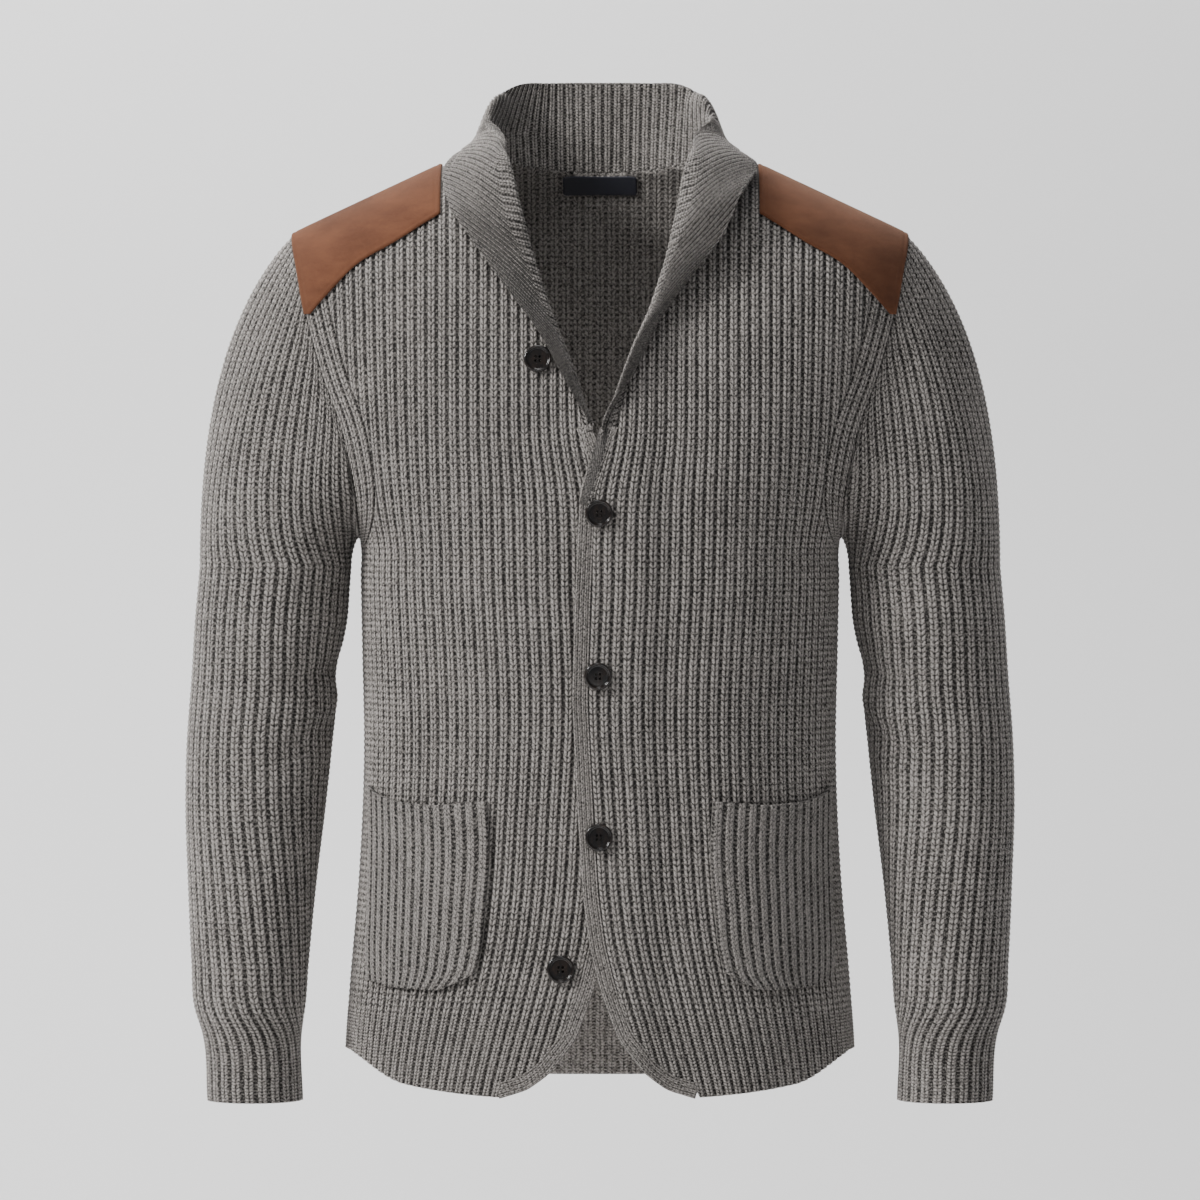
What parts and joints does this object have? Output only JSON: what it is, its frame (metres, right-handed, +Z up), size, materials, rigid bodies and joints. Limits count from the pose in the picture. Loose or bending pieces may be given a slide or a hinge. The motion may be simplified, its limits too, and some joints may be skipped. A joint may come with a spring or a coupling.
{
  "type": "knit blazer filled out as worn and held up by the wearer's neck and shoulders",
  "caption": "Single-breasted ribbed knit blazer with shawl collar, suede shoulder patches, patch pockets and round buttons, filled out as if worn.",
  "frame": {"origin": "the middle of the neck at the back neck seam's level, midway between the shoulders and between front and back", "axes": "+Z up along the wearer's spine, -Y is where the front faces, +X is the wearer's left"},
  "size_m": [0.6136, 0.2594, 0.7576],
  "materials": {
    "rib_knit": "matt melange wool-blend yarn, soft, in a one by one rib",
    "suede": "matt brown suede with a short nap",
    "label_cloth": "plain dark woven satin, blank",
    "button_horn": "glossy dark brown with a turned rim"
  },
  "bodies": {
    "root": {"back": "rib_knit", "front_right": "rib_knit", "front_left": "rib_knit", "edge_band_right": "rib_knit", "edge_band_left": "rib_knit", "sleeve_right": "rib_knit", "sleeve_left": "rib_knit", "pocket_right": "rib_knit", "pocket_left": "rib_knit", "collar": "rib_knit", "shoulder_patch_right": "suede", "shoulder_patch_left": "suede", "neck_label": "label_cloth", "button_collar": "button_horn", "button_upper": "button_horn", "button_middle": "button_horn", "button_lower": "button_horn", "button_hem": "button_horn"}
  },
  "joints": []
}
